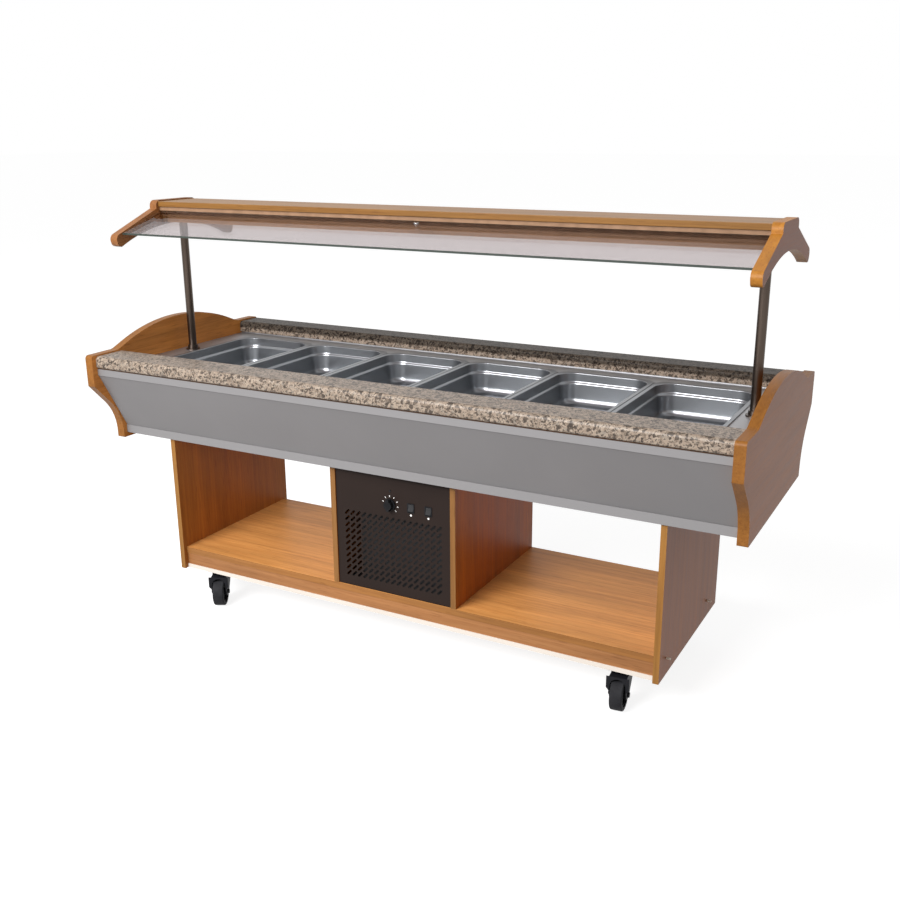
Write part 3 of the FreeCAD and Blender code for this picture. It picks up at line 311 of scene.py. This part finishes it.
def glass():
    """Rosy tinted glass with a nearly black cut edge along the outer, lower side of each pane."""
    graph = Graph("glass_tinted")
    haze = graph.noise(graph.point(), 3.0, 3.0)
    tint = graph.mix(haze, (0.81, 0.765, 0.77), (0.84, 0.80, 0.80))
    clear = graph.node("ShaderNodeBsdfTransparent", Color=tint)
    gloss = graph.node("ShaderNodeBsdfGlossy", Color=(0.9, 0.9, 0.9, 1.0), Roughness=0.03)
    fresnel = graph.node("ShaderNodeFresnel", IOR=1.4)
    pane = graph.blend(graph.math("MULTIPLY", fresnel.outputs[0], GLASS_GLOSS), clear, gloss)

    normal = graph.normal_parts()
    outward = graph.math("MULTIPLY", normal["Y"], graph.parts_of(graph.point())["Y"])
    cloud = graph.mix(haze, (0.020, 0.028, 0.022), (0.032, 0.042, 0.035))
    cut_edge = graph.node("ShaderNodeBsdfPrincipled", Base_Color=cloud, Roughness=0.3)
    rimmed = graph.blend(graph.above(outward, CUT_EDGE_LIMIT), pane, cut_edge)

    # The two ends stand a fraction of a millimetre from the brackets and are coloured like their wood.
    wood_tone = graph.mix(haze, (0.30, 0.13, 0.04), (0.36, 0.15, 0.045))
    seat = graph.node("ShaderNodeBsdfPrincipled", Base_Color=wood_tone, Roughness=0.5)
    seated = graph.above(graph.math("ABSOLUTE", normal["X"]), SEATED_END_LIMIT)
    return graph.finish(graph.blend(seated, rimmed, seat))


def moulded(name, colour, roughness, grain=700.0, gloss=0.5):
    """Moulded plastic, rubber or foam: a fine grain in the skin and slight wear in the tone."""
    graph = Graph(name)
    skin = graph.noise(graph.point(), grain, 3.0, 0.6)
    wear = graph.noise(graph.point(), 25.0, 4.0, 0.6)
    worn = tuple(min(1.0, 1.35 * value + 0.01) for value in colour)
    tone = graph.mix(graph.ramp(wear, [(0.35, 0.0), (0.75, 1.0)]), colour, worn)
    rough = graph.spread(wear, roughness - 0.06, roughness + 0.08)
    return surface(graph, tone, rough, graph.bump(skin, 0.15, 0.0004), Specular_IOR_Level=gloss)


def milky(name, colour):
    """Opal plastic and glass of the lamp, which is off."""
    graph = Graph(name)
    cloud = graph.noise(graph.point(), 6.0, 2.0)
    tone = graph.mix(cloud, tinted(colour, 0.96), colour)
    rough = graph.spread(cloud, 0.30, 0.42)
    return surface(graph, tone, rough)


SLAB_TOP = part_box("granite_front")[1][2]
BACK_SLAB_PAINTED_SHADE_BAND = 0.026  # the back slab is dark from its top down to this depth

# Painted light in these woods: each outer tone is a painted shade, and each edge tone is partly painted
# light.
SHELF_WOOD = wood("cherry_shelf", "X", (0.66, 0.30, 0.088), edge=(0.32, 0.138, 0.038), face_axis="Z")
PLINTH_WOOD = wood("cherry_plinth", "X", (0.37, 0.166, 0.062), seed=0.8)
BOARD_WOOD = wood("cherry_canopy_board", "X", (0.30, 0.16, 0.065), edge=(0.225, 0.104, 0.022),
                  face_axis="Z", seed=2.2)
# Painted light: much lighter than the other wood, to offset the shade under the canopy board.
BOX_WOOD_PAINTED_LIGHT = wood("cherry_light_box_painted_light", "X", (0.90, 0.62, 0.40), seed=7.7)
RAIL_WOOD = wood("cherry_rails", "X", (0.10, 0.045, 0.018), seed=3.1)
FLOOR_WOOD = wood("cherry_floor", "X", (0.40, 0.18, 0.06), seed=8.9)
# Painted light: the end panel's inner faces are brightened and its outer faces darkened for how light falls
# on them.
PANEL_WOOD_PAINTED_LIGHT = wood("cherry_end_panel_painted_light", "Y", (0.67, 0.26, 0.058), edge=(0.25, 0.098, 0.016), face_axis="X",
                  outer=(0.30, 0.092, 0.015), seed=1.7)
WING_WOOD = wood("cherry_wing", "Y", (0.33, 0.13, 0.037), edge=(0.41, 0.168, 0.023), face_axis="X",
                 outer=(0.24, 0.058, 0.005), seed=5.3)
# Painted shade: a copy of the wing wood with darker edges, for the left wing's edges in shade.
LEFT_WING_SHADED_WOOD = wood("cherry_wing_left_painted_shade", "Y", (0.33, 0.13, 0.037), edge=(0.27, 0.11, 0.034), face_axis="X",
                      outer=(0.24, 0.058, 0.005), seed=9.6)
SIDE_WOOD = wood("cherry_base_side", "Z", (0.46, 0.16, 0.026), edge=(0.32, 0.15, 0.034), face_axis="X",
                 outer=(0.28, 0.078, 0.010), seed=4.1)
DIVIDER_WOOD = wood("cherry_divider", "Z", (0.46, 0.122, 0.008), edge=(0.25, 0.115, 0.032),
                    face_axis="X", seed=6.4)
GRANITE = granite("granite_front_slab", 0.95, 0.88, SLAB_TOP - TINT_FADE, 0.2)
# Painted shade: the back slab's top is darkened by height.
GRANITE_BACK_PAINTED_SHADE = granite("granite_back_slab_painted_shade", 0.85, 0.24, SLAB_TOP - BACK_SLAB_PAINTED_SHADE_BAND, 0.04)
FASCIA = painted_sheet("fascia_grey", (0.188, 0.181, 0.183), 0.6, 0.03, gloss=0.25)
TRIM = brushed("trim_satin", (0.205, 0.198, 0.200), 0.5, "X", 0.05, 0.03, 0.35)
DECK = brushed("deck_brushed", (0.40, 0.40, 0.41), 0.45, "X", 0.12)
BARS = brushed("bars_brushed", (0.10, 0.098, 0.090), 0.42, "Y", 0.12)
PAN = brushed("pan_polished", (0.25, 0.26, 0.275), 0.30, "Y", 0.08, 0.02)
POST = brushed("post_polished", (0.092, 0.070, 0.057), 0.30, "Z", 0.35, 0.06)
GLASS = glass()
# Partly painted light: the channel's own brown is lightened against the shade under the canopy board.
CHANNEL_PAINTED_LIGHT = moulded("channel_brown_painted_light", (0.20, 0.115, 0.065), 0.55, gloss=0.2)
LAMP = milky("lamp_opal", (0.90, 0.88, 0.84))
FIXING = brushed("fixing_metal", (0.40, 0.40, 0.40), 0.2, "X")
PANEL = painted_sheet("panel_brown", (0.017, 0.0105, 0.0085), 0.55, 0.15, gloss=0.1)
BLACK = moulded("control_black", (0.006, 0.006, 0.007), 0.5, gloss=0.1)
ROCKER = moulded("rocker_gloss", (0.007, 0.007, 0.008), 0.30, gloss=0.3)
FOAM = moulded("foam_cream", (0.62, 0.56, 0.38), 0.8, 300.0)
FRAME = painted_sheet("frame_white", (0.62, 0.56, 0.50), 0.5, 0.04, gloss=0.2)
CASTER = painted_sheet("caster_black", (0.008, 0.008, 0.010), 0.45, 0.2, gloss=0.12)
CORE = moulded("wheel_plastic", (0.008, 0.008, 0.010), 0.5, gloss=0.1)
TYRE = moulded("tyre_rubber", (0.013, 0.013, 0.015), 0.65, gloss=0.1)
CAP = moulded("peg_beige", (0.62, 0.55, 0.45), 0.4)
SHEET = brushed("sheet_galvanised", (0.20, 0.20, 0.20), 0.45, "X")
FINS = brushed("condenser_fins", (0.030, 0.030, 0.032), 0.6, "Z", 0.35, 0.2, 0.3)
COMPRESSOR = painted_sheet("compressor_enamel", (0.012, 0.012, 0.012), 0.3, 0.2)
FAN = moulded("fan_plastic", (0.020, 0.020, 0.022), 0.4)
COPPER = brushed("copper_tube", (0.62, 0.30, 0.18), 0.3, "X")
PRINT = moulded("print_white", (0.62, 0.61, 0.60), 0.5)

FINISH = {
    "end_panel_left": PANEL_WOOD_PAINTED_LIGHT, "end_panel_right": PANEL_WOOD_PAINTED_LIGHT,
    "granite_front": GRANITE, "granite_back": GRANITE_BACK_PAINTED_SHADE,
    "fascia_front": FASCIA, "fascia_back": FASCIA, "fascia_trims": TRIM,
    "counter_rails": RAIL_WOOD, "counter_floor": FLOOR_WOOD,
    "well_tub": DECK, "well_insulation": FOAM, "pan_bars": BARS,
    "wing_left": LEFT_WING_SHADED_WOOD, "wing_right": WING_WOOD, "canopy_board": BOARD_WOOD, "light_box": BOX_WOOD_PAINTED_LIGHT,
    "lamp_and_diffuser": LAMP, "glass_front": GLASS, "glass_back": GLASS,
    "glass_channels": CHANNEL_PAINTED_LIGHT, "glass_fixings": FIXING, "canopy_posts": POST,
    "base_side_left": SIDE_WOOD, "base_side_right": SIDE_WOOD, "bay_dividers": DIVIDER_WOOD,
    "base_shelf": SHELF_WOOD, "plinth_boards": PLINTH_WOOD, "chassis_frame": FRAME,
    "fixing_caps": CAP, "control_panel": PANEL, "rear_grille": PANEL,
    "control_bodies": BLACK, "unit_tray": SHEET, "condenser": FINS,
    "fan_motor": SHEET, "compressor": COMPRESSOR, "refrigerant_pipes": COPPER,
    "caster_plates": CASTER, "fan_blades": FAN, "thermostat_knob": BLACK,
    "rocker_left": ROCKER, "rocker_right": ROCKER,
}
for corner in ("fl", "fr", "bl", "br"):
    FINISH["caster_fork_" + corner] = CASTER
    FINISH["caster_wheel_" + corner] = CORE
    FINISH["caster_tyre_" + corner] = TYRE
for number in range(1, 7):
    FINISH["pan_" + str(number)] = PAN


def dress():
    """Put each node's material into its slots; the meshes stay as they are."""
    for name, material in FINISH.items():
        data = NODES[name].data
        if not data.materials:
            data.materials.append(material)
        for index in range(len(data.materials)):
            data.materials[index] = material


# ------------------------------------------------------------------ printed marks
def mesh_piece(name, vertices, faces, material):
    data = bpy.data.meshes.new(name)
    data.from_pydata(vertices, [], faces)
    data.materials.append(material)
    piece = bpy.data.objects.new(name, data)
    bpy.context.scene.collection.objects.link(piece)
    return piece


def slab_on_panel(x, z, half_u, half_v, turn, front):
    """Eight corners of a thin raised mark on the control panel, half_u along its turn."""
    corners = []
    for y in (front, front - PRINT_THICKNESS):
        for u, v in ((-half_u, -half_v), (half_u, -half_v), (half_u, half_v), (-half_u, half_v)):
            corners.append((x + u * math.cos(turn) - v * math.sin(turn), y,
                            z + u * math.sin(turn) + v * math.cos(turn)))
    return corners


SLAB_FACES = [(0, 1, 2, 3), (7, 6, 5, 4), (0, 4, 5, 1), (1, 5, 6, 2), (2, 6, 7, 3), (3, 7, 4, 0)]
PRINT_THICKNESS = 0.0003
KNOB = (-0.005, 0.508)
DIAL_RADIUS = 0.027
TICK_DEGREES = (165.0, 130.0, 95.0, 60.0, 25.0, -10.0, -45.0)
SWITCHES = (0.069, 0.131)
SWITCH_DOT_HEIGHT = 0.484
DOT_RADIUS = 0.0035
DOT_SIDES = 20
TICK_HALF_LENGTH = 0.0028
TICK_HALF_WIDTH = 0.0011


def printed_marks():
    """The dial's ticks and a dot under each switch, as one thin piece."""
    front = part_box("control_panel")[0][1]
    vertices = []
    faces = []
    for degrees in TICK_DEGREES:
        turn = math.radians(degrees)
        x = KNOB[0] + DIAL_RADIUS * math.cos(turn)
        z = KNOB[1] + DIAL_RADIUS * math.sin(turn)
        start = len(vertices)
        vertices += slab_on_panel(x, z, TICK_HALF_LENGTH, TICK_HALF_WIDTH, turn, front)
        faces += [tuple(start + index for index in face) for face in SLAB_FACES]
    for x in SWITCHES:
        start = len(vertices)
        for y in (front, front - PRINT_THICKNESS):
            for index in range(DOT_SIDES):
                turn = 2.0 * math.pi * index / DOT_SIDES
                vertices.append((x + DOT_RADIUS * math.cos(turn), y,
                                 SWITCH_DOT_HEIGHT + DOT_RADIUS * math.sin(turn)))
        back_ring = [start + index for index in range(DOT_SIDES)]
        front_ring = [start + DOT_SIDES + index for index in range(DOT_SIDES)]
        faces.append(tuple(back_ring))
        faces.append(tuple(reversed(front_ring)))
        for index in range(DOT_SIDES):
            following = (index + 1) % DOT_SIDES
            faces.append((back_ring[index], front_ring[index], front_ring[following], back_ring[following]))
    piece = mesh_piece("panel_print", vertices, faces, PRINT)
    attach(piece, "counter_body")


# ------------------------------------------------------------------ studio
FILL_LIGHT = 0.42
SEEN_WHITE = 1.0
FLOOR_TONES = (0.35, 0.37)
FLOOR_GLOW = 0.84
FLOOR_SIDE = 60.0
# name: place, target, size and power of each lamp
LAMPS = {
    "key": ((-1.8, -3.6, 5.0), (0.0, 0.0, 0.7), (2.6, 1.6), 160.0),
    "front": ((-1.0, -4.4, 3.2), (0.0, 0.0, 0.4), (3.0, 1.4), 330.0),
}


def lamp(name, place, target, size, power):
    data = bpy.data.lights.new(name, "AREA")
    data.shape = "RECTANGLE"
    data.size, data.size_y = size
    data.energy = power
    made = bpy.data.objects.new(name, data)
    bpy.context.scene.collection.objects.link(made)
    made.location = place
    made.rotation_euler = (Vector(target) - Vector(place)).to_track_quat("-Z", "Y").to_euler()


def seen_directly(tree):
    """1 for the rays that see the background: from the camera, through glass and off gloss."""
    path = tree.nodes.new("ShaderNodeLightPath")
    seen = path.outputs["Is Camera Ray"]
    for ray in ("Is Transmission Ray", "Is Glossy Ray"):
        either = tree.nodes.new("ShaderNodeMath")
        either.operation = "MAXIMUM"
        tree.links.new(seen, either.inputs[0])
        tree.links.new(path.outputs[ray], either.inputs[1])
        seen = either.outputs[0]
    return seen


def background(tree, strength):
    made = tree.nodes.new("ShaderNodeBackground")
    made.inputs["Color"].default_value = (1.0, 1.0, 1.0, 1.0)
    made.inputs["Strength"].default_value = strength
    return made


def make_world():
    """White where it is seen, and an even soft fill on the object."""
    world = bpy.data.worlds.new("studio")
    bpy.context.scene.world = world
    world.use_nodes = True
    tree = world.node_tree
    tree.nodes.clear()
    choice = tree.nodes.new("ShaderNodeMixShader")
    tree.links.new(seen_directly(tree), choice.inputs[0])
    tree.links.new(background(tree, FILL_LIGHT).outputs[0], choice.inputs[1])
    tree.links.new(background(tree, SEEN_WHITE).outputs[0], choice.inputs[2])
    output = tree.nodes.new("ShaderNodeOutputWorld")
    tree.links.new(choice.outputs[0], output.inputs["Surface"])


def make_floor():
    """A grey floor that keeps the shadow and glows up to white where it is seen."""
    graph = Graph("floor_white")
    faint = graph.noise(graph.point(), 2.0, 2.0)
    low, high = FLOOR_TONES
    tone = graph.mix(faint, (low, low, low), (high, high, high))
    diffuse = graph.node("ShaderNodeBsdfDiffuse", Color=tone)
    glow = graph.node("ShaderNodeEmission", Color=(1.0, 1.0, 1.0, 1.0))
    graph.put(glow, "Strength", graph.math("MULTIPLY", seen_directly(graph.tree), FLOOR_GLOW))
    total = graph.node("ShaderNodeAddShader")
    graph.put(total, "0", diffuse.outputs[0])
    graph.put(total, "1", glow.outputs[0])
    corners = [(-FLOOR_SIDE, -FLOOR_SIDE, 0.0), (FLOOR_SIDE, -FLOOR_SIDE, 0.0),
               (FLOOR_SIDE, FLOOR_SIDE, 0.0), (-FLOOR_SIDE, FLOOR_SIDE, 0.0)]
    mesh_piece("floor", corners, [(0, 1, 2, 3)], graph.finish(total))


def studio():
    bpy.context.scene.view_settings.view_transform = "Standard"
    make_world()
    for name, (place, target, size, power) in LAMPS.items():
        lamp(name, place, target, size, power)
    make_floor()


dress()
printed_marks()
studio()
make_camera()
